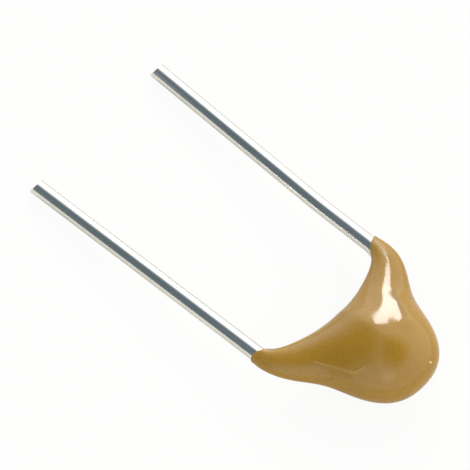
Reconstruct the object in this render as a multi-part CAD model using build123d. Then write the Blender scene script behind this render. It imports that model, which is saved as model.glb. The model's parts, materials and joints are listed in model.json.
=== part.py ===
from build123d import *
import math
import os

# Radial multilayer ceramic capacitor: a ceramic chip with two formed wires, dipped in epoxy.
# Lengths are in millimetres and angles in degrees. The pieces are laid out with the wires in
# the XY plane, running along X: X = 0 is where they enter the coating and the nose is at +X.
# The finished part is then tipped until it rests on its bulb and on the two wire tips.

# Wires
pitch = 5.08
lead_diameter = 0.50
left_length = 9.05
right_length = 9.30
lead_splay = 1.27
cut_slant = 25.0
right_bow = 0.065
right_bow_x = 2.2
right_bow_radius = 25.0

# Formed shanks inside the coating
bend_x = 0.46
arm_angle = 45.0
left_bend_radius = 1.0
right_bend_radius = 1.4
shank_bend_radius = 0.5
shank_overrun = 0.33

# Ceramic chip and its end caps
ceramic_length = 1.90
ceramic_width = 1.25
ceramic_height = 1.00
ceramic_edge_round = 0.06
chip_x = 2.66
cap_wall = 0.05
cap_band = 0.35
cap_edge_round = 0.08

# Internal electrodes
electrodes_per_side = 6
electrode_thickness = 0.02
electrode_spacing = 0.065
electrode_side_margin = 0.15
electrode_end_margin = 0.25

# Solder between shank and cap
solder_film = 0.03
solder_wrap = 0.04
solder_length = 0.86
solder_foot_height = 0.84

# Dipped coating, as reaches from the middle of the wire entries. Its walls are what it adds
# to the chip and to the wires.
nose_wall = 1.195
bulb_wall = 0.67
arm_wall = 0.075
rim_film = 0.035
web_cover = 1.055
web_wall = 0.27
shoulder_wall = 0.085
nose_spread = 29.4
nose_squareness = 2.7
nose_skew = 0.75
thickness_spread = 40.0
thickness_squareness = 1.66
shoulder_swell = {-1: 0.01, 1: 0.10}
shoulder_swell_angle = 76.0
shoulder_swell_spread = 16.0
rim_from_angle = 50.0
rim_ease = 2.6
rim_inner_share = {-1: 0.55, 1: 0.43}
section_step = 10

lead_radius = lead_diameter / 2
half_pitch = pitch / 2
cap_face_y = ceramic_length / 2 + cap_wall
shank_y = cap_face_y + solder_film + lead_radius
lead_length = {-1: left_length, 1: right_length}
bend_radius = {-1: left_bend_radius, 1: right_bend_radius}
side_name = {-1: "left", 1: "right"}
web_depth = chip_x - ceramic_width / 2 - web_cover
nose_reach = chip_x + ceramic_width / 2 + nose_wall
bulb_thickness = ceramic_height + 2 * bulb_wall
arm_thickness = lead_diameter + 2 * arm_wall
rim_thickness = lead_diameter + 2 * rim_film


def lead_corners(side):
    """Corners of one wire's path, given for the right wire's side of the middle."""
    splay = math.tan(math.radians(lead_splay))
    start = lead_length[side] + lead_diameter
    bend_y = half_pitch - bend_x * splay
    shank_x = bend_x + (bend_y - shank_y) / math.tan(math.radians(arm_angle))
    corners = [Vector(-start, half_pitch + start * splay)]
    if side > 0:
        corners.append(Vector(-right_bow_x, half_pitch + right_bow_x * splay - right_bow))
    corners.append(Vector(bend_x, bend_y))
    corners.append(Vector(shank_x, shank_y))
    corners.append(Vector(chip_x + shank_overrun, shank_y))
    return corners


def lead_path(side):
    """Centreline of one wire: straight run, bend into the arm, bend onto the chip's end."""
    points = [(corner.X, side * corner.Y) for corner in lead_corners(side)]
    radii = [bend_radius[side], shank_bend_radius]
    if side > 0:
        radii.insert(0, right_bow_radius)
    return FilletPolyline(*points, radius=radii)


def make_lead(side):
    """Round wire along its path, sheared off on a slant at the tip."""
    path = lead_path(side)
    wire = sweep(Plane(path @ 0, z_dir=path % 0) * Circle(lead_radius), path=path)
    tip_y = side * (half_pitch + lead_length[side] * math.tan(math.radians(lead_splay)))
    slant = math.radians(cut_slant)
    cut = Plane((-lead_length[side], tip_y, 0), z_dir=(math.cos(slant), 0, -math.sin(slant)))
    return split(wire, bisect_by=cut, keep=Keep.TOP)


def ceramic_envelope():
    """Outer form of the fired chip, with its tumbled edges."""
    block = Box(ceramic_width, ceramic_length, ceramic_height)
    return Pos(chip_x, 0, 0) * fillet(block.edges(), ceramic_edge_round)


def make_electrode(side, index):
    """One plate: it reaches the chip's end on its own side and stops short of the other."""
    length = ceramic_length - electrode_end_margin
    order = 2 * index + (1 if side > 0 else 0)
    level = (order - electrodes_per_side + 0.5) * electrode_spacing
    plate = Box(ceramic_width - 2 * electrode_side_margin, length, electrode_thickness)
    return Pos(chip_x, side * electrode_end_margin / 2, level) * plate


def make_cap(side, envelope):
    """End termination: wraps the end face and a band of the four sides."""
    width = ceramic_width + 2 * cap_wall
    height = ceramic_height + 2 * cap_wall
    block = Box(width, cap_wall + cap_band, height)
    open_edges = block.faces().sort_by(Axis.Y)[0].edges()
    block = fillet(block.edges() - open_edges, cap_edge_round)
    if side < 0:
        block = Rot(0, 0, 180) * block
    return Pos(chip_x, side * (cap_face_y - (cap_wall + cap_band) / 2), 0) * block - envelope


def make_solder(side, lead, cap, envelope):
    """Solder around the shank, with a foot that spreads over the cap's end face."""
    wrap_radius = lead_radius + solder_wrap
    wrap = Rot(0, 90, 0) * Cylinder(wrap_radius, solder_length)
    foot = Plane.YZ.offset(-solder_length / 2) * Polygon(
        (cap_face_y, -solder_foot_height / 2),
        (shank_y, -wrap_radius),
        (shank_y, wrap_radius),
        (cap_face_y, solder_foot_height / 2),
        align=None,
    )
    joint = Pos(0, shank_y, 0) * wrap + extrude(foot, amount=solder_length)
    if side < 0:
        joint = Rot(180, 0, 0) * joint
    return Pos(chip_x, 0, 0) * joint - lead - cap - envelope


def ease(angle):
    """0 up to the angle where the arm begins to close on its wire, 1 at the rim."""
    share = (abs(angle) - rim_from_angle) / (90 - rim_from_angle)
    return max(0.0, share) ** rim_ease


def bell(angle, spread, squareness):
    """1 at the nose, falling to 0 along the arms."""
    return math.exp(-((abs(angle) / spread) ** squareness))


def web_reach(angle):
    """From the origin to the concave edge between the arms, which is half an ellipse."""
    web_half_width = half_pitch - lead_radius - web_wall
    across = math.cos(math.radians(angle)) / web_depth
    along = math.sin(math.radians(angle)) / web_half_width
    return 1 / math.hypot(across, along)


def outer_reach(angle):
    """From the origin to the outer edge: round shoulders with the nose standing out between."""
    side = 1 if angle >= 0 else -1
    swell = (abs(angle) - shoulder_swell_angle) / shoulder_swell_spread
    shoulder = half_pitch + lead_radius + shoulder_wall
    shoulder += shoulder_swell[side] * math.exp(-(swell**2))
    nose = bell(angle - nose_skew, nose_spread, nose_squareness)
    return shoulder + (nose_reach - shoulder) * nose


def rim_end(side, share, way):
    """Point just off the wire's flank in its outer bend; way is 1 outwards, -1 inwards."""
    before, corner, after, _ = lead_corners(side)[-4:]
    heading = (corner - before).normalized()
    turn = heading.get_angle(after - corner)
    flank = heading.rotate(Axis.Z, 90)
    reach = math.tan(math.radians(turn / 2))
    centre = corner - (heading * reach + flank) * bend_radius[side]
    off = bend_radius[side] + way * (lead_radius + rim_film)
    point = centre + flank.rotate(Axis.Z, -turn * share) * off
    return Vector(point.X, side * point.Y)


def oval_at(angle):
    """Oval section of the coating on a line that fans out from the origin.

    Near the rims the sections leave the fan and close on the wires. A section is given as
    its middle, the half width that points outwards, and the half height.
    """
    side = 1 if angle >= 0 else -1
    direction = Vector(1, 0).rotate(Axis.Z, angle)
    last = Vector(0, side)
    inner_shift = rim_end(side, rim_inner_share[side], -1) - last * web_reach(90)
    outer_shift = rim_end(side, 0, 1) - last * outer_reach(side * 90)
    inner = direction * web_reach(angle) + inner_shift * ease(angle)
    outer = direction * outer_reach(angle) + outer_shift * ease(angle)
    swelling = bell(angle, thickness_spread, thickness_squareness)
    thickness = arm_thickness + (bulb_thickness - arm_thickness) * swelling
    thickness += (rim_thickness - arm_thickness) * ease(angle)
    return (inner + outer) / 2, (outer - inner) / 2, Vector(0, 0, thickness / 2)


def arch(middle, half, rise):
    """Half an ellipse from the outer end over the top to the inner end."""
    place = Plane(middle, x_dir=half, z_dir=half.cross(rise))
    return place * EllipticalCenterArc((0, 0), half.length, rise.length, 0, arc_size=180)


def skin(sections):
    """Closed solid through oval sections: an upper and a lower sheet and two end faces."""
    faces = []
    for way in (1, -1):
        arches = [Wire(arch(middle, half, rise * way)) for middle, half, rise in sections]
        faces += Shell.make_loft(arches).faces()
    for middle, half, rise in (sections[0], sections[-1]):
        rim = [arch(middle, half, rise).edge(), arch(middle, half, -rise).edge()]
        faces.append(Face(Wire(rim)))
    return Solid(Shell(faces))


def make_coating(fillings):
    """Dipped epoxy from rim to rim round the nose, less all that it encloses."""
    body = skin([oval_at(angle) for angle in range(-90, 91, section_step)])
    for filling in fillings:
        body = body - filling
    return body


def rest_tilt():
    """Tilt that brings the bulb's underside and the wire tips to one level."""
    bulb_x = (web_depth + nose_reach) / 2
    tip_x = (left_length + right_length) / 2
    return math.degrees(math.asin((bulb_thickness / 2 - lead_radius) / (bulb_x + tip_x)))


def build_pieces():
    envelope = ceramic_envelope()
    pieces = {}
    ceramic = envelope
    for side in (-1, 1):
        lead = make_lead(side)
        cap = make_cap(side, envelope)
        pieces[f"lead_{side_name[side]}"] = lead
        pieces[f"termination_{side_name[side]}"] = cap
        pieces[f"solder_{side_name[side]}"] = make_solder(side, lead, cap, envelope)
    fillings = list(pieces.values()) + [envelope]
    for side in (-1, 1):
        for index in range(electrodes_per_side):
            plate = make_electrode(side, index)
            ceramic = ceramic - plate
            pieces[f"electrode_{side_name[side]}_{index + 1}"] = plate
    pieces["ceramic_chip"] = ceramic
    pieces["epoxy_coating"] = make_coating(fillings)
    return pieces


def lay_down(pieces):
    """Tip the part onto its bulb and tips, and put the origin under its middle."""
    tilted = {name: Rot(0, -rest_tilt(), 0) * piece for name, piece in pieces.items()}
    box = Compound(list(tilted.values())).bounding_box(optimal=True)
    shift = Pos(-box.center().X, -box.center().Y, -box.min.Z)
    return {name: shift * piece for name, piece in tilted.items()}


os.makedirs("parts", exist_ok=True)
for name, piece in lay_down(build_pieces()).items():
    export_step(piece, f"parts/{name}.step")
    print(name, round(piece.volume, 4))
print("rest tilt", round(rest_tilt(), 2))
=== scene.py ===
import json
import math
import bmesh
import bpy
from mathutils import Matrix, Vector


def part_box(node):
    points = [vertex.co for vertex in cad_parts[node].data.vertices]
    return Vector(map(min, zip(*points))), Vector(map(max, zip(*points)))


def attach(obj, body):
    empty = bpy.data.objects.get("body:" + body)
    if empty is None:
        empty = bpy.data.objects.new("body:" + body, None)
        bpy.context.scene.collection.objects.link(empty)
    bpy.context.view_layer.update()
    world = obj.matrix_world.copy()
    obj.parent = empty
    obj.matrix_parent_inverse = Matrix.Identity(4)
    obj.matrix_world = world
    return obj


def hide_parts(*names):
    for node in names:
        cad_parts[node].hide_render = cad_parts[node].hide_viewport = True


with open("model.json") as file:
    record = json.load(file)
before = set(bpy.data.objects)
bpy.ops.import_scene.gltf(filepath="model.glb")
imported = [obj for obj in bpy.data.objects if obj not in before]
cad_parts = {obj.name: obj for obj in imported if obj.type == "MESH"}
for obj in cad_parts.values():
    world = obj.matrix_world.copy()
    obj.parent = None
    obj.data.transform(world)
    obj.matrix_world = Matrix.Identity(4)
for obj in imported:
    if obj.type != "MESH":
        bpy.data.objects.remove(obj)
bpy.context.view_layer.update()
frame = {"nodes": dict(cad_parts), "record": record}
scene = bpy.context.scene

# Pieces are drawn in millimetres in the plane of the wires, with X = 0 where they enter the
# coating and +X towards its nose. restPlace then lays them down where the frame has them.
layout = {
    "millimetre": 0.001,
    "halfPitch": 2.54,
    "wireRadius": 0.25,
    "chipX": 2.66,  # middle of the ceramic chip
}


def findRestPlace():
    wireAxis = Vector(frame["record"]["mounts"][0]["axis"])
    tilt = math.atan2(-wireAxis.z, -wireAxis.x)
    low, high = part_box("ceramic_chip")
    turn = Matrix.Rotation(-tilt, 4, "Y")
    unit = layout["millimetre"]
    origin = (low + high) / 2 - turn @ Vector((layout["chipX"] * unit, 0, 0))
    return Matrix.Translation(origin) @ turn @ Matrix.Scale(unit, 4)


restPlace = findRestPlace()
restTilt = math.degrees(restPlace.to_euler().y)
print("frame: the part lies tipped by", round(restTilt, 2), "degrees")


# Shader helpers

def addNode(tree, kind, values=None, **options):
    node = tree.nodes.new("ShaderNode" + kind)
    for option, value in options.items():
        setattr(node, option, value)
    for socket, value in (values or {}).items():
        if isinstance(value, bpy.types.NodeSocket):
            tree.links.new(value, node.inputs[socket])
        else:
            node.inputs[socket].default_value = value
    return node


def startGroup(name, inputs, output):
    group = bpy.data.node_groups.new(name, "ShaderNodeTree")
    for label, kind in inputs.items():
        group.interface.new_socket(label, in_out="INPUT", socket_type="NodeSocket" + kind)
    group.interface.new_socket(output, in_out="OUTPUT", socket_type="NodeSocketFloat")
    return group, group.nodes.new("NodeGroupInput").outputs


def endGroup(group, value):
    group.links.new(value, group.nodes.new("NodeGroupOutput").inputs[0])
    return group


def buildMottle():
    # soft patches, from 0 to 1
    group, given = startGroup(
        "softMottle", {"Vector": "Vector", "Scale": "Float", "Sharpness": "Float"}, "Mask"
    )
    patches = addNode(group, "TexNoise", {
        "Vector": given["Vector"], "Scale": given["Scale"], "Detail": 3.0, "Roughness": 0.55,
    })
    centred = addNode(group, "Math", {0: patches.outputs["Fac"], 1: 0.5}, operation="SUBTRACT")
    steep = addNode(group, "Math", {0: centred.outputs[0], 1: given["Sharpness"]},
                    operation="MULTIPLY")
    mask = addNode(group, "Math", {0: steep.outputs[0], 1: 0.5}, operation="ADD", use_clamp=True)
    return endGroup(group, mask.outputs[0])


def buildPits():
    # small round spots, 1 in the middle of a spot and 0 between them
    group, given = startGroup(
        "finePits",
        {"Vector": "Vector", "Scale": "Float", "Size": "Float", "Share": "Float"},
        "Mask",
    )
    cells = addNode(group, "TexVoronoi", {"Vector": given["Vector"], "Scale": given["Scale"]})
    ratio = addNode(group, "Math", {0: cells.outputs["Distance"], 1: given["Size"]},
                    operation="DIVIDE")
    spot = addNode(group, "Math", {0: 1.0, 1: ratio.outputs[0]}, operation="SUBTRACT",
                   use_clamp=True)
    chance = addNode(group, "SeparateColor", {"Color": cells.outputs["Color"]})
    chosen = addNode(group, "Math", {0: chance.outputs["Red"], 1: given["Share"]},
                     operation="LESS_THAN")
    mask = addNode(group, "Math", {0: spot.outputs[0], 1: chosen.outputs[0]},
                   operation="MULTIPLY")
    return endGroup(group, mask.outputs[0])


def buildStroke():
    # soft line from Start to End, 1 along its middle and 0 past its width
    group, given = startGroup(
        "softStroke",
        {"Vector": "Vector", "Start": "Vector", "End": "Vector", "Width": "Float"},
        "Mask",
    )
    along = addNode(group, "VectorMath", {0: given["End"], 1: given["Start"]},
                    operation="SUBTRACT").outputs["Vector"]
    offset = addNode(group, "VectorMath", {0: given["Vector"], 1: given["Start"]},
                     operation="SUBTRACT").outputs["Vector"]
    reach = addNode(group, "VectorMath", {0: offset, 1: along},
                    operation="DOT_PRODUCT").outputs["Value"]
    length = addNode(group, "VectorMath", {0: along, 1: along},
                     operation="DOT_PRODUCT").outputs["Value"]
    share = addNode(group, "Math", {0: reach, 1: length}, operation="DIVIDE", use_clamp=True)
    foot = addNode(group, "VectorMath", {0: along, "Scale": share.outputs[0]},
                   operation="SCALE").outputs["Vector"]
    away = addNode(group, "VectorMath", {0: offset, 1: foot},
                   operation="DISTANCE").outputs["Value"]
    ratio = addNode(group, "Math", {0: away, 1: given["Width"]}, operation="DIVIDE")
    mask = addNode(group, "MapRange", {"Value": ratio.outputs[0], "To Min": 1.0, "To Max": 0.0},
                   interpolation_type="SMOOTHSTEP")
    return endGroup(group, mask.outputs["Result"])


mottleGroup = buildMottle()
pitsGroup = buildPits()
strokeGroup = buildStroke()


def startMaterial(name):
    material = bpy.data.materials.new(name)
    material.use_nodes = True
    tree = material.node_tree
    place = addNode(tree, "TexCoord").outputs["Object"]
    return material, tree, place, tree.nodes["Principled BSDF"]


def addEffect(tree, group, place, values):
    node = addNode(tree, "Group", values, node_tree=group)
    tree.links.new(place, node.inputs["Vector"])
    return node.outputs["Mask"]


def addMottle(tree, place, scale, sharpness):
    return addEffect(tree, mottleGroup, place, {"Scale": scale, "Sharpness": sharpness})


def addPits(tree, place, scale, size, share):
    return addEffect(tree, pitsGroup, place, {"Scale": scale, "Size": size, "Share": share})


def addStrokes(tree, place, strokes):
    # the strongest of several marks, whose places and widths are in millimetres
    unit = layout["millimetre"]
    total = None
    for start, end, width in strokes:
        mask = addEffect(tree, strokeGroup, place, {
            "Start": [value * unit for value in start],
            "End": [value * unit for value in end],
            "Width": width * unit,
        })
        if total is None:
            total = mask
        else:
            total = addNode(tree, "Math", {0: total, 1: mask}, operation="MAXIMUM").outputs[0]
    return total


def scaleMask(tree, mask, share):
    return addNode(tree, "Math", {0: mask, 1: share}, operation="MULTIPLY").outputs[0]


def mixColours(tree, mask, dark, light):
    # sockets 6 and 7 of the node are its two colours, and 2 is the mixed one
    node = addNode(tree, "Mix", data_type="RGBA")
    tree.links.new(mask, node.inputs["Factor"])
    for socket, value in ((node.inputs[6], dark), (node.inputs[7], light)):
        if isinstance(value, bpy.types.NodeSocket):
            tree.links.new(value, socket)
        else:
            socket.default_value = (*value, 1.0)
    return node.outputs[2]


def spreadValue(tree, mask, low, high):
    node = addNode(tree, "MapRange", {"Value": mask, "To Min": low, "To Max": high})
    return node.outputs["Result"]


def addBump(tree, shader, height, distance):
    # distance is how far the height stands out, in metres
    bump = addNode(tree, "Bump", {"Height": height, "Distance": distance})
    tree.links.new(bump.outputs["Normal"], shader.inputs["Normal"])
    return bump


# Epoxy

epoxyLook = {
    "deep": (0.345, 0.174, 0.011),
    "pale": (0.405, 0.214, 0.019),
    "patches": (380.0, 1.6),  # scale and sharpness of the change from deep to pale
    "grain": (11000.0, 3.0),
    "grainShare": 0.14,
    "speck": (0.060, 0.035, 0.015),
    "specks": (3400.0, 0.16, 0.06),  # scale, size and how many of the spots are there
    "roughness": (0.07, 0.14),
    "sheen": (1500.0, 2.0),
    "refraction": 1.52,
    "peel": (9000.0, 1.0),
    "peelDepth": 0.0000008,
    # marks have a start, an end and a half width, in millimetres
    "creaseDepth": 0.000006,
    # each crease is raised by a bump and also carries the painted highlight colour
    "creases": (
        ((4.15, -1.80, 1.60), (4.42, -1.70, 1.65), 0.050),
        ((4.42, -1.70, 1.65), (4.67, -1.59, 1.70), 0.060),
        ((4.67, -1.59, 1.70), (5.05, -1.47, 1.79), 0.070),
        ((5.05, -1.47, 1.79), (5.35, -1.36, 1.85), 0.080),
        ((5.35, -1.36, 1.85), (5.51, -1.09, 2.02), 0.060),
    ),
    # painted highlight: a pale colour laid along the creases and on an oval at the lower right,
    # standing in for soft reflections on the coating
    "paintedHighlight": (0.520, 0.350, 0.130),
    "paintedHighlightShare": 0.30,
    "reflectionMarks": (
        ((6.19, -0.84, 1.96), (6.26, -0.76, 1.97), 0.260),
    ),
    "shade": (0.190, 0.100, 0.004),
    "shadeShare": 0.45,
    "shadeMarks": (
        ((4.24, 1.52, 1.74), (4.68, 1.22, 1.94), 0.170),
        ((4.68, 1.22, 1.94), (5.21, 1.00, 2.10), 0.170),
    ),
    "darkShare": 0.6,
    "darkMarks": (
        ((3.56, -0.43, 1.54), (3.57, -0.42, 1.54), 0.045),
        ((4.86, -1.79, 1.46), (4.87, -1.78, 1.46), 0.050),
        ((4.74, 1.75, 1.60), (4.75, 1.76, 1.59), 0.045),
        ((6.37, 1.16, 1.63), (6.38, 1.17, 1.62), 0.035),
    ),
    "glint": (0.900, 0.760, 0.500),
    "glintMarks": (
        ((6.69, 0.52, 1.72), (6.75, 0.60, 1.68), 0.045),
    ),
    "mattRoughness": 0.34,  # added where the coating thins out on the wires
    "mattMarks": (
        ((2.30, 2.70, 1.10), (2.75, 2.60, 1.20), 0.650),
        ((2.30, -2.70, 1.10), (2.75, -2.60, 1.20), 0.650),
    ),
}


def paintEpoxy(tree, place, look):
    patches = addMottle(tree, place, *look["patches"])
    colour = mixColours(tree, patches, look["deep"], look["pale"])
    grain = scaleMask(tree, addMottle(tree, place, *look["grain"]), look["grainShare"])
    colour = mixColours(tree, grain, colour, look["speck"])
    # painted highlight along the creases and on the pale oval
    paintedHighlight = addStrokes(tree, place, look["reflectionMarks"] + look["creases"])
    paintedHighlight = scaleMask(tree, paintedHighlight, look["paintedHighlightShare"])
    colour = mixColours(tree, paintedHighlight, colour, look["paintedHighlight"])
    shade = scaleMask(tree, addStrokes(tree, place, look["shadeMarks"]), look["shadeShare"])
    colour = mixColours(tree, shade, colour, look["shade"])
    specks = addPits(tree, place, *look["specks"])
    marks = scaleMask(tree, addStrokes(tree, place, look["darkMarks"]), look["darkShare"])
    specks = addNode(tree, "Math", {0: specks, 1: marks}, operation="MAXIMUM").outputs[0]
    colour = mixColours(tree, specks, colour, look["speck"])
    glints = addStrokes(tree, place, look["glintMarks"])
    return mixColours(tree, glints, colour, look["glint"])


def makeEpoxy(look):
    material, tree, place, shader = startMaterial("ochreEpoxy")
    tree.links.new(paintEpoxy(tree, place, look), shader.inputs["Base Color"])
    sheen = addMottle(tree, place, *look["sheen"])
    roughness = spreadValue(tree, sheen, *look["roughness"])
    matt = scaleMask(tree, addStrokes(tree, place, look["mattMarks"]), look["mattRoughness"])
    roughness = addNode(tree, "Math", {0: roughness, 1: matt}, operation="ADD").outputs[0]
    tree.links.new(roughness, shader.inputs["Roughness"])
    shader.inputs["IOR"].default_value = look["refraction"]
    peel = addMottle(tree, place, *look["peel"])
    fine = addBump(tree, shader, peel, look["peelDepth"])
    creases = addStrokes(tree, place, look["creases"])
    raised = addNode(tree, "Bump", {"Height": creases, "Distance": look["creaseDepth"]})
    tree.links.new(raised.outputs["Normal"], fine.inputs["Normal"])
    return material


# Bare metals and the fired chip

metalLooks = {
    "tinned_wire": {
        "dark": (0.74, 0.73, 0.69), "light": (0.86, 0.85, 0.80), "roughness": (0.17, 0.22),
        "scale": 900.0, "bump": 0.0000002,
    },
    "termination": {
        "dark": (0.50, 0.49, 0.47), "light": (0.68, 0.67, 0.65), "roughness": (0.35, 0.55),
        "scale": 4000.0, "bump": 0.0000020,
    },
    "solder": {
        "dark": (0.52, 0.53, 0.54), "light": (0.72, 0.73, 0.74), "roughness": (0.20, 0.40),
        "scale": 3000.0, "bump": 0.0000030,
    },
    "electrode": {
        "dark": (0.46, 0.44, 0.40), "light": (0.62, 0.60, 0.55), "roughness": (0.40, 0.60),
        "scale": 6000.0, "bump": 0.0000005,
    },
}


metalGrain = {
    "filmSharpness": 2.2,
    "finer": 4.0,  # how much finer the grain is than the film
    "sharpness": 1.5,
}


def makeMetal(slot, look):
    material, tree, place, shader = startMaterial(slot)
    film = addMottle(tree, place, look["scale"], metalGrain["filmSharpness"])
    colour = mixColours(tree, film, look["dark"], look["light"])
    tree.links.new(colour, shader.inputs["Base Color"])
    low, high = look["roughness"]
    tree.links.new(spreadValue(tree, film, high, low), shader.inputs["Roughness"])
    shader.inputs["Metallic"].default_value = 1.0
    grain = addMottle(tree, place, look["scale"] * metalGrain["finer"], metalGrain["sharpness"])
    addBump(tree, shader, grain, look["bump"])
    return material


ceramicLook = {
    "dark": (0.40, 0.31, 0.22), "light": (0.58, 0.48, 0.37), "pore": (0.16, 0.12, 0.08),
    "roughness": (0.55, 0.75), "grains": (6000.0, 2.5), "pores": (14000.0, 0.25, 0.12),
    "bump": 0.000002,
}


def makeCeramic(look):
    material, tree, place, shader = startMaterial("firedCeramic")
    grains = addMottle(tree, place, *look["grains"])
    colour = mixColours(tree, grains, look["dark"], look["light"])
    pores = addPits(tree, place, *look["pores"])
    colour = mixColours(tree, pores, colour, look["pore"])
    tree.links.new(colour, shader.inputs["Base Color"])
    low, high = look["roughness"]
    tree.links.new(spreadValue(tree, grains, low, high), shader.inputs["Roughness"])
    addBump(tree, shader, grains, look["bump"])
    return material


materials = {"epoxy": makeEpoxy(epoxyLook), "ceramic": makeCeramic(ceramicLook)}
for slotName, look in metalLooks.items():
    materials[slotName] = makeMetal(slotName, look)
print("materials:", ", ".join(materials))


# Pieces

def addPiece(bm, name, slot, node):
    bmesh.ops.transform(bm, matrix=restPlace, verts=bm.verts)
    bmesh.ops.recalc_face_normals(bm, faces=bm.faces)
    mesh = bpy.data.meshes.new(name)
    bm.to_mesh(mesh)
    bm.free()
    mesh.materials.append(materials[slot])
    mesh.shade_smooth()
    piece = bpy.data.objects.new(name, mesh)
    scene.collection.objects.link(piece)
    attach(piece, "root")
    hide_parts(node)
    return piece


# Wires

wires = {
    "length": {-1: 9.05, 1: 9.30},
    "offcut": 1.0,  # drawn past the tip and cut away again
    "splay": 1.27,
    "cutSlant": 25.0,
    "bow": 0.065,
    "bowX": 2.2,
    "bowRadius": 25.0,
    "bendX": 0.46,
    "armAngle": 45.0,
    "bendRadius": {-1: 1.0, 1: 1.4},
    "shankBendRadius": 0.5,
    "shankEnd": 2.99,
    "shankY": 1.28,
    "segments": 96,
    "cutLip": 0.018,  # rounding of the cut edge
    "cutLipSteps": 3,
    "sharpAngle": 40.0,
    "bendSteps": 24,
}


def wireCorners(side):
    splay = math.tan(math.radians(wires["splay"]))
    start = wires["length"][side] + wires["offcut"]
    bendY = layout["halfPitch"] - wires["bendX"] * splay
    run = (bendY - wires["shankY"]) / math.tan(math.radians(wires["armAngle"]))
    shankX = wires["bendX"] + run
    corners = [(-start, layout["halfPitch"] + start * splay)]
    radii = []
    if side > 0:
        bowY = layout["halfPitch"] + wires["bowX"] * splay - wires["bow"]
        corners.append((-wires["bowX"], bowY))
        radii.append(wires["bowRadius"])
    corners.append((wires["bendX"], bendY))
    corners.append((shankX, wires["shankY"]))
    corners.append((wires["shankEnd"], wires["shankY"]))
    radii += [wires["bendRadius"][side], wires["shankBendRadius"]]
    return [Vector((x, side * y, 0)) for x, y in corners], radii


def growRing(bm, ring, matrix):
    # a new ring of edges, moved by the matrix and joined to the old ring by a band of faces
    grown = bmesh.ops.extrude_edge_only(bm, edges=ring)["geom"]
    bmesh.ops.transform(bm, matrix=matrix,
                        verts=[item for item in grown if isinstance(item, bmesh.types.BMVert)])
    return [item for item in grown if isinstance(item, bmesh.types.BMEdge)]


def bendRing(bm, ring, centre, angle):
    profile = ring + list(dict.fromkeys(vert for edge in ring for vert in edge.verts))
    last = bmesh.ops.spin(bm, geom=profile, cent=centre, axis=(0, 0, 1), angle=angle,
                          steps=wires["bendSteps"], use_duplicate=False)["geom_last"]
    return [item for item in last if isinstance(item, bmesh.types.BMEdge)]


def cutTip(bm, side):
    tipY = side * (layout["halfPitch"] + wires["length"][side]
                   * math.tan(math.radians(wires["splay"])))
    slant = math.radians(wires["cutSlant"])
    everything = list(bm.verts) + list(bm.edges) + list(bm.faces)
    cut = bmesh.ops.bisect_plane(
        bm, geom=everything, plane_co=(-wires["length"][side], tipY, 0),
        plane_no=(-math.cos(slant), 0, math.sin(slant)), clear_outer=True,
    )["geom_cut"]
    rim = [item for item in cut if isinstance(item, bmesh.types.BMEdge)]
    bmesh.ops.edgeloop_fill(bm, edges=rim)
    bmesh.ops.bevel(bm, geom=rim, offset=wires["cutLip"], offset_type="OFFSET",
                    segments=wires["cutLipSteps"], profile=0.5, affect="EDGES", material=-1)


def makeWire(side, name, node):
    corners, radii = wireCorners(side)
    bm = bmesh.new()
    first = (corners[1] - corners[0]).normalized()
    turn = first.to_track_quat("Z", "Y").to_matrix().to_4x4()
    bmesh.ops.create_circle(bm, cap_ends=False, segments=wires["segments"],
                            radius=layout["wireRadius"],
                            matrix=Matrix.Translation(corners[0]) @ turn)
    ring = list(bm.edges)
    used = 0.0
    for before, corner, after, radius in zip(corners, corners[1:], corners[2:], radii):
        inward = (corner - before).normalized()
        outward = (after - corner).normalized()
        angle = -inward.xy.angle_signed(outward.xy)
        reach = radius * math.tan(abs(angle) / 2)
        run = (corner - before).length - used - reach
        ring = growRing(bm, ring, Matrix.Translation(inward * run))
        sideways = Vector((-inward.y, inward.x, 0)) * math.copysign(radius, angle)
        centre = corner - inward * reach + sideways
        ring = bendRing(bm, ring, centre, angle)
        used = reach
    run = (corners[-1] - corners[-2]).length - used
    ring = growRing(bm, ring, Matrix.Translation(outward * run))
    bmesh.ops.edgeloop_fill(bm, edges=ring)
    cutTip(bm, side)
    piece = addPiece(bm, name, "tinned_wire", node)
    piece.data.set_sharp_from_angle(angle=math.radians(wires["sharpAngle"]))
    return piece


for side, name in ((-1, "left"), (1, "right")):
    wire = makeWire(side, "wire_" + name, "lead_" + name)
    print("wire", name, len(wire.data.polygons), "faces")


# Coating

coating = {
    "webDepth": 0.98,
    "webWall": 0.27,
    "shoulderWall": 0.085,
    "noseReach": 4.48,
    "noseSpread": 29.4,
    "noseSquareness": 2.7,
    "noseSkew": 0.75,
    "bulbThickness": 2.34,
    "armThickness": 0.65,
    "rimThickness": 0.57,
    "rimFilm": 0.035,
    "thicknessSpread": 40.0,
    "thicknessSquareness": 1.66,
    "swell": {-1: 0.01, 1: 0.10},
    "swellAngle": 76.0,
    "swellSpread": 16.0,
    "rimFromAngle": 50.0,
    "rimEase": 2.6,
    "rimInnerShare": {-1: 0.55, 1: 0.43},
    "rimLean": {-1: 0.06, 1: 0.12},  # how much further the upper side of a rim reaches out
    "rimSet": 0.6,  # share of the lean by which a rim is set back
    "rimRound": 0.03,
    "rimRoundTurns": (0, 30, 60, 90),
    "ripplesFadeIn": 0.5,  # share of a ripple's length over which it rises
    "ripples": (
        ((2.72, 0.54), (3.22, 1.00), 0.24, 0.024),  # start, end, half width and height
        ((1.75, 1.60), (3.04, 0.98), 0.26, 0.046),
        ((1.45, 1.50), (2.60, 0.52), 0.26, 0.013),
    ),
    "ringStep": 1.5,  # degrees between the sections
    "ringSegments": 96,
}


def ease(angle):
    start = coating["rimFromAngle"]
    return max(0.0, (abs(angle) - start) / (90 - start)) ** coating["rimEase"]


def bell(angle, spread, squareness):
    return math.exp(-((abs(angle) / spread) ** squareness))


def webReach(angle):
    halfWidth = layout["halfPitch"] - layout["wireRadius"] - coating["webWall"]
    turn = math.radians(angle)
    return 1 / math.hypot(math.cos(turn) / coating["webDepth"], math.sin(turn) / halfWidth)


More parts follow.
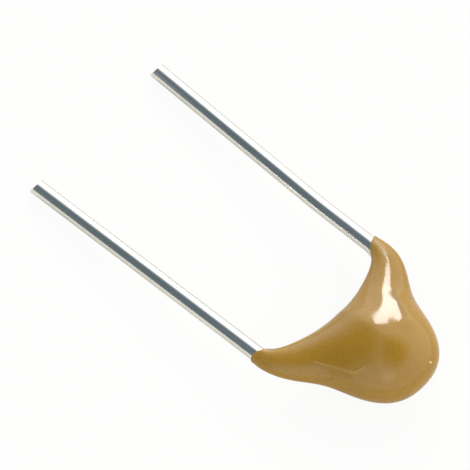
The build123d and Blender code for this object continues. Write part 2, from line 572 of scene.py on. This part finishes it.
def outerReach(angle):
    side = 1 if angle >= 0 else -1
    away = (abs(angle) - coating["swellAngle"]) / coating["swellSpread"]
    shoulder = layout["halfPitch"] + layout["wireRadius"] + coating["shoulderWall"]
    shoulder += coating["swell"][side] * math.exp(-away * away)
    nose = bell(angle - coating["noseSkew"], coating["noseSpread"], coating["noseSquareness"])
    return shoulder + (coating["noseReach"] - shoulder) * nose


def ovalPlace(middle, half, rise):
    # matrix that turns a unit circle into an oval section
    normal = half.cross(rise).normalized()
    columns = Matrix((half, rise, normal)).transposed().to_4x4()
    return Matrix.Translation(middle) @ columns


def rimEnd(side, share, way):
    # point just off the wire's flank in its outer bend; way is 1 outwards and -1 inwards
    before, corner, after = wireCorners(side)[0][-4:-1]
    heading = (corner - before).normalized()
    turn = heading.angle(after - corner)
    flank = Vector((-heading.y, heading.x, 0)) * side
    radius = wires["bendRadius"][side]
    centre = corner - (heading * math.tan(turn / 2) + flank) * radius
    reach = radius + way * (layout["wireRadius"] + coating["rimFilm"])
    return centre + Matrix.Rotation(-side * turn * share, 3, "Z") @ flank * reach


def ovalAt(angle):
    side = 1 if angle >= 0 else -1
    rim = ease(angle)
    direction = Vector((math.cos(math.radians(angle)), math.sin(math.radians(angle)), 0))
    last = Vector((0, side, 0))
    innerShift = rimEnd(side, coating["rimInnerShare"][side], -1) - last * webReach(90)
    outerShift = rimEnd(side, 0, 1) - last * outerReach(side * 90)
    inner = direction * webReach(angle) + innerShift * rim
    outer = direction * outerReach(angle) + outerShift * rim
    swelling = bell(angle, coating["thicknessSpread"], coating["thicknessSquareness"])
    arm = coating["armThickness"]
    thickness = arm + (coating["bulbThickness"] - arm) * swelling
    thickness += (coating["rimThickness"] - arm) * rim
    lean = coating["rimLean"][side] * rim
    middle = (inner + outer) / 2 + Vector((lean * coating["rimSet"], 0, 0))
    return middle, (outer - inner) / 2, Vector((-lean, 0, thickness / 2))


def endSections(side):
    # a quarter round over the rim
    middle, half, rise = ovalAt(side * 90)
    out = half.cross(rise).normalized() * -side
    ovals = []
    for turn in coating["rimRoundTurns"]:
        step = coating["rimRound"] * (math.sin(math.radians(turn)) - 1)
        shrink = coating["rimRound"] * (1 - math.cos(math.radians(turn)))
        ovals.append((middle + out * step, half * (1 - shrink / half.length),
                      rise * (1 - shrink / rise.length)))
    return ovals


def loftSections(bm, ovals, segments):
    places = [ovalPlace(*oval) for oval in ovals]
    bmesh.ops.create_circle(bm, cap_ends=False, segments=segments, radius=1.0,
                            matrix=places[0])
    ring = list(bm.edges)
    bmesh.ops.edgeloop_fill(bm, edges=ring)
    for before, after in zip(places, places[1:]):
        ring = growRing(bm, ring, after @ before.inverted())
    bmesh.ops.edgeloop_fill(bm, edges=ring)


def addRipples(bm):
    # low swellings on the upper side, each along a line and fading in from its start
    for start, end, width, height in coating["ripples"]:
        first = Vector(start)
        along = Vector(end) - first
        for vert in bm.verts:
            if vert.co.z > 0:
                offset = vert.co.xy - first
                share = min(1.0, max(0.0, offset.dot(along) / along.length_squared))
                away = (offset - along * share).length / width
                rise = min(1.0, share / coating["ripplesFadeIn"])
                vert.co.z += height * rise * math.exp(-away * away)


def makeCoating():
    steps = round(180 / coating["ringStep"])
    ovals = list(reversed(endSections(-1)))
    ovals += [ovalAt(-90 + index * coating["ringStep"]) for index in range(1, steps)]
    ovals += endSections(1)
    bm = bmesh.new()
    loftSections(bm, ovals, coating["ringSegments"])
    addRipples(bm)
    return addPiece(bm, "dipped_coating", "epoxy", "epoxy_coating")


coatingPiece = makeCoating()
print("coating:", len(coatingPiece.data.polygons), "faces")


# Carried-over pieces inside the coating

insideSlots = {
    "ceramic_chip": "ceramic",
    "termination": "termination",
    "solder": "solder",
    "electrode": "electrode",
}
for nodeName, node in frame["nodes"].items():
    for start, slotName in insideSlots.items():
        if nodeName.startswith(start):
            node.data.materials.clear()
            node.data.materials.append(materials[slotName])
print("inside pieces dressed")


# Studio

studio = {
    "floorHalf": 1.5,
    "floorColour": (0.84, 0.79, 0.69),
    "floorGlow": 0.93,  # share of plain white that the camera sees in the floor
    "floorShine": 0.15,  # the same for the metal's reflections
    "domeRadius": 1.0,
    "domeSegments": 64,
    "domeDim": (0.12, 0.16, 0.19),  # the dim parts of the room
    "domeBright": (1.30, 1.34, 1.38),
    "dimParts": (
        # azimuth from the camera's right, elevation, and the angles where it gives way
        (162.0, 50.0, 14.0, 42.0),
        (187.0, 35.0, 12.0, 30.0),
        (198.0, 12.0, 14.0, 32.0),
        (10.0, 76.0, 12.0, 34.0),
    ),
    "wallTowards": (60.0, 25.0),  # middle of the brightest part
    "wallEdge": (0.17, 0.90),
    "wallGain": 0.26,
}

viewpoint = {
    "azimuth": 43.969,
    "elevation": 60.516,
    "target": (-0.0011416, 0.0003334, 0.0),
    "distance": 0.200,
    "lens": 506.41,
    "sensor": 36.0,
    "clip": (0.01, 10.0),
}


def towards(azimuth, elevation):
    # direction by azimuth from the camera's right, 90 being straight behind the part
    turn = math.radians(viewpoint["azimuth"] + azimuth)
    rise = math.radians(elevation)
    return Vector((math.cos(turn) * math.cos(rise), math.sin(turn) * math.cos(rise),
                   math.sin(rise)))


def addCamera():
    azimuth = math.radians(viewpoint["azimuth"])
    elevation = math.radians(viewpoint["elevation"])
    back = Vector((math.sin(azimuth) * math.cos(elevation),
                   -math.cos(azimuth) * math.cos(elevation), math.sin(elevation)))
    data = bpy.data.cameras.new("camera")
    data.lens = viewpoint["lens"]
    data.sensor_width = viewpoint["sensor"]
    data.clip_start, data.clip_end = viewpoint["clip"]
    camera = bpy.data.objects.new("camera", data)
    camera.location = Vector(viewpoint["target"]) + back * viewpoint["distance"]
    camera.rotation_euler = back.to_track_quat("Z", "Y").to_euler()
    scene.collection.objects.link(camera)
    scene.camera = camera


def addFloor():
    material = bpy.data.materials.new("paleFloor")
    material.use_nodes = True
    tree = material.node_tree
    tree.nodes.clear()
    paths = addNode(tree, "LightPath")
    seen = addNode(tree, "Math", {0: paths.outputs["Is Camera Ray"],
                                  1: paths.outputs["Is Transmission Ray"]},
                   operation="ADD", use_clamp=True)
    glow = addNode(tree, "Math", {0: seen.outputs[0], 1: studio["floorGlow"]},
                   operation="MULTIPLY")
    shine = addNode(tree, "Math", {0: paths.outputs["Is Glossy Ray"],
                                   1: studio["floorShine"]}, operation="MULTIPLY")
    share = addNode(tree, "Math", {0: glow.outputs[0], 1: shine.outputs[0]},
                    operation="ADD", use_clamp=True)
    matte = addNode(tree, "BsdfDiffuse", {"Color": (*studio["floorColour"], 1.0)})
    white = addNode(tree, "Emission", {"Color": (1.0, 1.0, 1.0, 1.0), "Strength": 1.0})
    both = addNode(tree, "MixShader", {0: share.outputs[0], 1: matte.outputs[0],
                                       2: white.outputs[0]})
    output = tree.nodes.new("ShaderNodeOutputMaterial")
    tree.links.new(both.outputs[0], output.inputs["Surface"])
    bm = bmesh.new()
    bmesh.ops.create_grid(bm, x_segments=1, y_segments=1, size=studio["floorHalf"])
    mesh = bpy.data.meshes.new("floor")
    bm.to_mesh(mesh)
    bm.free()
    mesh.materials.append(material)
    floor = bpy.data.objects.new("floor", mesh)
    scene.collection.objects.link(floor)


def addDome():
    # walls and ceiling of the room, which the camera doesn't see but the part reflects
    material = bpy.data.materials.new("studioDome")
    material.use_nodes = True
    tree = material.node_tree
    tree.nodes.clear()
    place = addNode(tree, "TexCoord").outputs["Object"]
    outward = addNode(tree, "VectorMath", {0: place}, operation="NORMALIZE").outputs[0]
    clear = None
    for azimuth, elevation, start, end in studio["dimParts"]:
        facing = addNode(tree, "VectorMath", {0: outward, 1: towards(azimuth, elevation)},
                         operation="DOT_PRODUCT").outputs["Value"]
        share = addNode(tree, "MapRange", {
            "Value": facing, "From Min": math.cos(math.radians(start)),
            "From Max": math.cos(math.radians(end)),
        }).outputs["Result"]
        if clear is None:
            clear = share
        else:
            clear = addNode(tree, "Math", {0: clear, 1: share}, operation="MINIMUM").outputs[0]
    colour = mixColours(tree, clear, studio["domeDim"], studio["domeBright"])
    facing = addNode(tree, "VectorMath", {0: outward, 1: towards(*studio["wallTowards"])},
                     operation="DOT_PRODUCT").outputs["Value"]
    start, end = studio["wallEdge"]
    wall = addNode(tree, "MapRange", {
        "Value": facing, "From Min": start, "From Max": end, "To Min": 1.0,
        "To Max": 1.0 + studio["wallGain"],
    }, interpolation_type="SMOOTHSTEP").outputs["Result"]
    glow = addNode(tree, "Emission", {"Color": colour, "Strength": wall})
    output = tree.nodes.new("ShaderNodeOutputMaterial")
    tree.links.new(glow.outputs[0], output.inputs["Surface"])
    bm = bmesh.new()
    bmesh.ops.create_uvsphere(bm, u_segments=studio["domeSegments"],
                              v_segments=studio["domeSegments"] // 2,
                              radius=studio["domeRadius"])
    everything = list(bm.verts) + list(bm.edges) + list(bm.faces)
    bmesh.ops.bisect_plane(bm, geom=everything, plane_co=(0, 0, 0), plane_no=(0, 0, -1),
                           clear_outer=True)
    mesh = bpy.data.meshes.new("dome")
    bm.to_mesh(mesh)
    bm.free()
    mesh.materials.append(material)
    dome = bpy.data.objects.new("dome", mesh)
    dome.visible_camera = False
    dome.visible_shadow = False
    scene.collection.objects.link(dome)


# lamps, with azimuths from the camera's right
panels = {
    "window": {"azimuth": 86.5, "elevation": 25.0, "distance": 0.8, "size": (0.18, 0.42),
               "radiance": 11.0, "colour": (0.97, 0.99, 1.0)},
}


def addPanel(name, panel):
    out = towards(panel["azimuth"], panel["elevation"])
    data = bpy.data.lights.new(name, "AREA")
    data.shape = "RECTANGLE"
    data.size, data.size_y = panel["size"]
    data.color = panel["colour"]
    data.energy = panel["radiance"] * math.pi * data.size * data.size_y
    light = bpy.data.objects.new(name, data)
    light.location = out * panel["distance"]
    light.rotation_euler = out.to_track_quat("Z", "Y").to_euler()
    light.visible_camera = False
    scene.collection.objects.link(light)


def setWorld():
    world = bpy.data.worlds.new("studio")
    world.use_nodes = True
    scene.world = world
    background = world.node_tree.nodes["Background"]
    background.inputs["Color"].default_value = (1.0, 1.0, 1.0, 1.0)
    background.inputs["Strength"].default_value = 1.0


addCamera()
addFloor()
addDome()
for panelName, panel in panels.items():
    addPanel(panelName, panel)
setWorld()
scene.view_settings.view_transform = "Standard"
print("studio ready")
